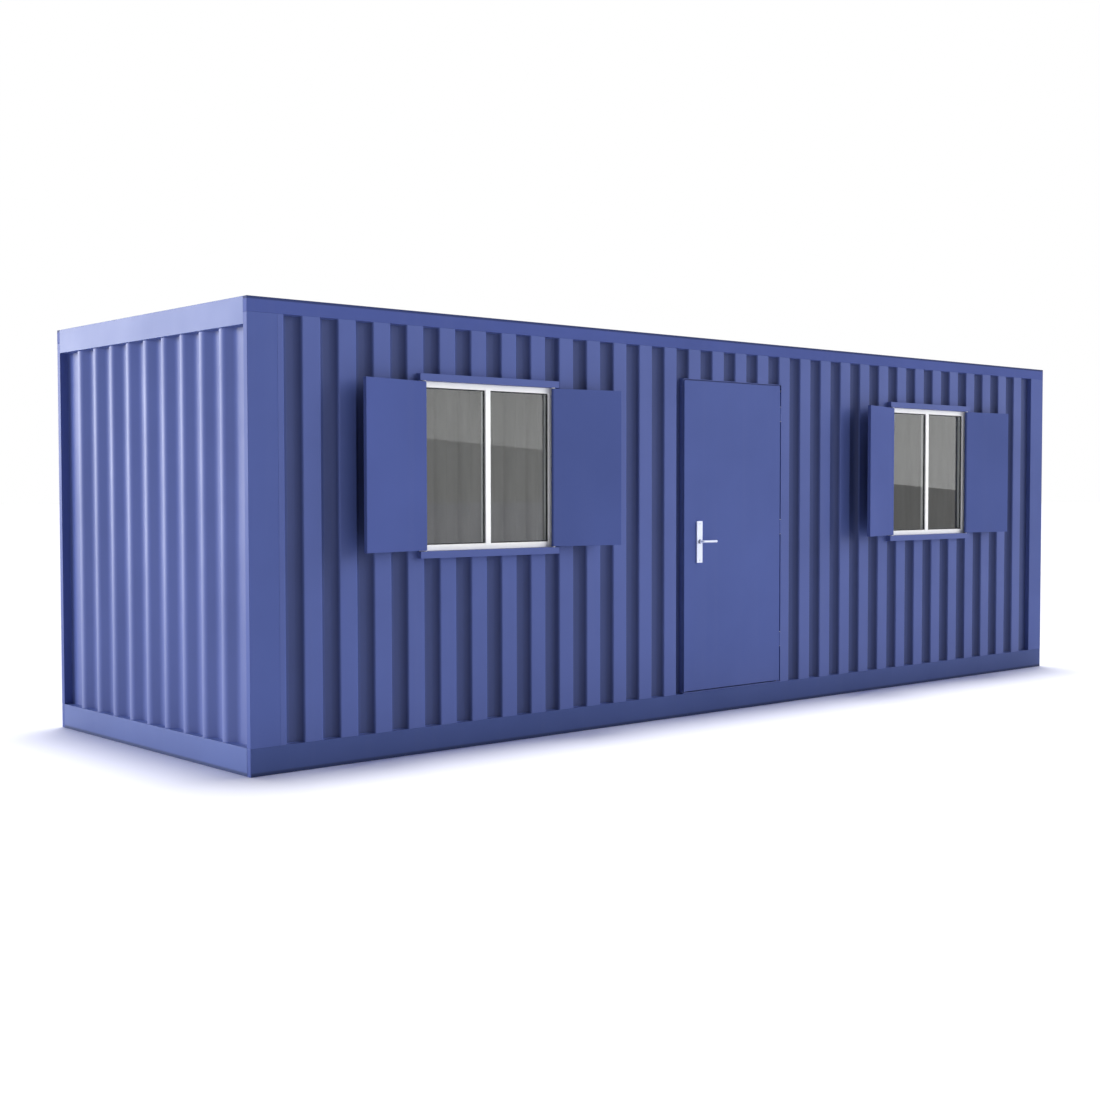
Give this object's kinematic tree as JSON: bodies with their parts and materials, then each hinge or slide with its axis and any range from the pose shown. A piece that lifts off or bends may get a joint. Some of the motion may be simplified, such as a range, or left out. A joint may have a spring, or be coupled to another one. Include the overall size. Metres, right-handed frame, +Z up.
{
  "type": "portable site cabin",
  "caption": "Single-room site cabin of folded steel sheet with a hinged door, shuttered windows and a steel frame to rest on level ground.",
  "frame": {"origin": "on the ground, in the middle of the length and of the whole depth with the shutters as they stand", "axes": "+X along the front from the left end to the right end, +Y from the front wall to the rear wall, +Z up"},
  "size_m": [7.89, 2.5728, 2.591],
  "materials": {
    "base_paint": "satin blue paint on folded steel plate",
    "frame_paint": "satin blue paint on folded steel plate",
    "wall_paint": "satin blue paint on folded steel sheet",
    "end_wall_paint": "satin blue paint on folded steel sheet",
    "roof_paint": "satin blue paint on folded steel sheet",
    "underframe_paint": "dark paint on folded steel",
    "floor_board": "sealed plywood",
    "surround_paint": "satin blue paint on steel",
    "window_white": "white extruded profile",
    "window_glass": "clear float glass",
    "shutter_paint": "satin blue paint on steel",
    "door_frame_paint": "satin blue paint on steel",
    "door_paint": "satin blue paint on steel",
    "handle_metal": "pale anodised metal"
  },
  "bodies": {
    "cabin": {"bottom_side_rail_front": "base_paint", "bottom_side_rail_rear": "base_paint", "bottom_end_rail_left": "base_paint", "bottom_end_rail_right": "base_paint", "top_side_rail_front": "frame_paint", "top_side_rail_rear": "frame_paint", "top_end_rail_left": "frame_paint", "top_end_rail_right": "frame_paint", "corner_post_front_left": "frame_paint", "corner_post_front_right": "frame_paint", "corner_post_rear_left": "frame_paint", "corner_post_rear_right": "frame_paint", "front_wall_left_end": "wall_paint", "front_wall_below_left_window": "wall_paint", "front_wall_above_left_window": "wall_paint", "front_wall_left_of_door": "wall_paint", "front_wall_above_door": "wall_paint", "front_wall_right_of_door": "wall_paint", "front_wall_below_right_window": "wall_paint", "front_wall_above_right_window": "wall_paint", "front_wall_right_end": "wall_paint", "rear_wall": "wall_paint", "end_wall_left": "end_wall_paint", "end_wall_right": "end_wall_paint", "roof_sheet": "roof_paint", "floor_cross_members": "underframe_paint", "floor_deck": "floor_board", "left_window_surround": "surround_paint", "left_window_frame": "window_white", "left_window_glass": "window_glass", "right_window_surround": "surround_paint", "right_window_frame": "window_white", "right_window_glass": "window_glass", "door_jamb_lock_side": "door_frame_paint", "door_jamb_hinge_side": "door_frame_paint", "door_head": "door_frame_paint", "door_threshold": "door_frame_paint"},
    "door": {"door_leaf": "door_paint", "door_handle_plates": "handle_metal"},
    "door_lever": {"door_lever_set": "handle_metal"},
    "left_window_left_shutter": {"left_window_shutter_left": "shutter_paint"},
    "left_window_right_shutter": {"left_window_shutter_right": "shutter_paint"},
    "right_window_left_shutter": {"right_window_shutter_left": "shutter_paint"},
    "right_window_right_shutter": {"right_window_shutter_right": "shutter_paint"}
  },
  "joints": [
    {"name": "door_hinge", "type": "hinge", "parent": "cabin", "child": "door", "pos_m": [0.425, -1.1156, 1.233], "axis": [0, 0, 1], "range_deg": [0, 115]},
    {"name": "door_lever_turn", "type": "hinge", "parent": "door", "child": "door_lever", "pos_m": [-0.435, -1.0951, 1.196], "axis": [0, 1, 0], "range_deg": [0, 45], "stiffness_Nm_per_rad": 2, "springref_deg": -20.05},
    {"name": "left_window_left_shutter_hinge", "type": "hinge", "parent": "cabin", "child": "left_window_left_shutter", "pos_m": [-2.7865, -1.1376, 1.69], "axis": [0, 0, 1], "range_deg": [-11.5, 168.5]},
    {"name": "left_window_right_shutter_hinge", "type": "hinge", "parent": "cabin", "child": "left_window_right_shutter", "pos_m": [-1.7835, -1.1376, 1.69], "axis": [0, 0, -1], "range_deg": [-12, 168]},
    {"name": "right_window_left_shutter_hinge", "type": "hinge", "parent": "cabin", "child": "right_window_left_shutter", "pos_m": [1.7435, -1.1376, 1.69], "axis": [0, 0, 1], "range_deg": [-16, 164]},
    {"name": "right_window_right_shutter_hinge", "type": "hinge", "parent": "cabin", "child": "right_window_right_shutter", "pos_m": [2.7465, -1.1376, 1.69], "axis": [0, 0, -1], "range_deg": [-8, 172]}
  ]
}
